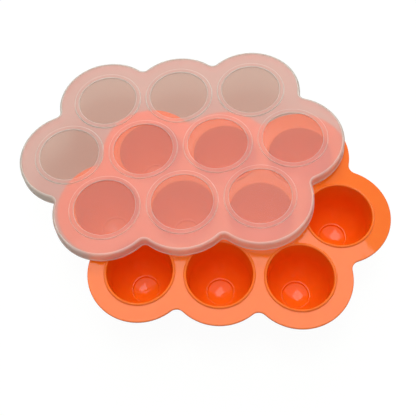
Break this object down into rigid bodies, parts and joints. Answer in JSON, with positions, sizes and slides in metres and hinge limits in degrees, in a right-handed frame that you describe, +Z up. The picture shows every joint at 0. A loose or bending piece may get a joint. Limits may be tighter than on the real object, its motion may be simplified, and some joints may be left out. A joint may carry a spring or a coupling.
{
  "type": "baby food freezer tray",
  "caption": "Silicone freezer tray with round portion cups in a lobed flange, and a translucent clip-over lid laid on top of it.",
  "frame": {"origin": "middle of the tray, on the surface that its cups stand on", "axes": "+X along the row of four cups, +Y towards the back row, +Z up"},
  "size_m": [0.3104, 0.2535, 0.0663],
  "materials": {
    "orange_silicone": "glossy moulded silicone",
    "frosted_plastic": "frosted translucent"
  },
  "bodies": {
    "tray_body": {"flange": "orange_silicone", "front_left_cup": "orange_silicone", "front_middle_cup": "orange_silicone", "front_right_cup": "orange_silicone", "middle_far_left_cup": "orange_silicone", "middle_left_cup": "orange_silicone", "middle_right_cup": "orange_silicone", "middle_far_right_cup": "orange_silicone", "back_left_cup": "orange_silicone", "back_middle_cup": "orange_silicone", "back_right_cup": "orange_silicone"},
    "lid_body": {"lid": "frosted_plastic"}
  },
  "joints": [
    {"name": "lid_lift", "type": "slide", "parent": "tray_body", "child": "lid_body", "axis": [0, 0, 1], "range_m": [0, 0.08]}
  ]
}
